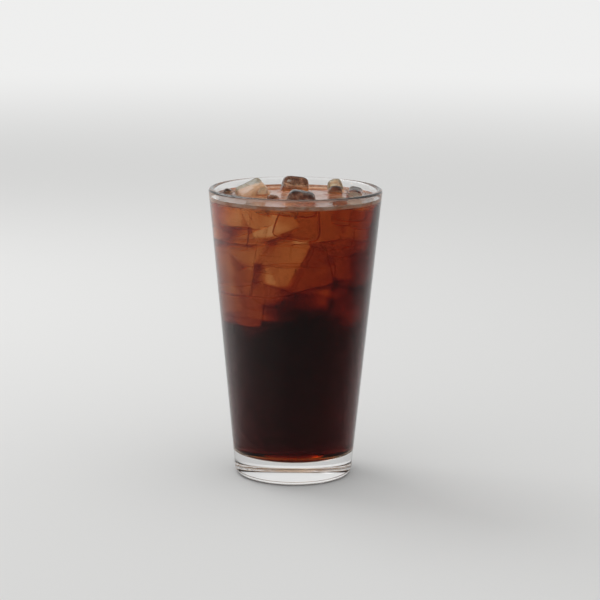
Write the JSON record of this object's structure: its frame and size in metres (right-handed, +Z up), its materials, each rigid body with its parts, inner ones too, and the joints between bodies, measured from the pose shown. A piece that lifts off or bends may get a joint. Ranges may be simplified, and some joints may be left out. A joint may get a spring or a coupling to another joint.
{
  "type": "glass of cold brew coffee with ice",
  "caption": "Clear, drafted, thick-bottomed tumbler filled almost to its rim with dark cold brew coffee and melting cubes of ice that stand out of it.",
  "frame": {"origin": "middle of the foot, on the plane that the glass rests on", "axes": "+Z up along the glass's axis, +Y away from the side that is seen first, +X to its right"},
  "size_m": [0.089, 0.089, 0.1533],
  "materials": {
    "glass": "clear, polished",
    "coffee": "dark clear liquid, glossy",
    "ice": "wet, melting, clear to slightly cloudy"
  },
  "bodies": {
    "root": {"glass": "glass", "coffee": "coffee", "ice_back": "ice", "ice_chip_left": "ice", "ice_chip_middle": "ice", "ice_front": "ice", "ice_left_peak": "ice", "ice_right": "ice", "ice_right_back": "ice", "ice_right_front": "ice", "ice_right_wall": "ice"}
  },
  "joints": []
}
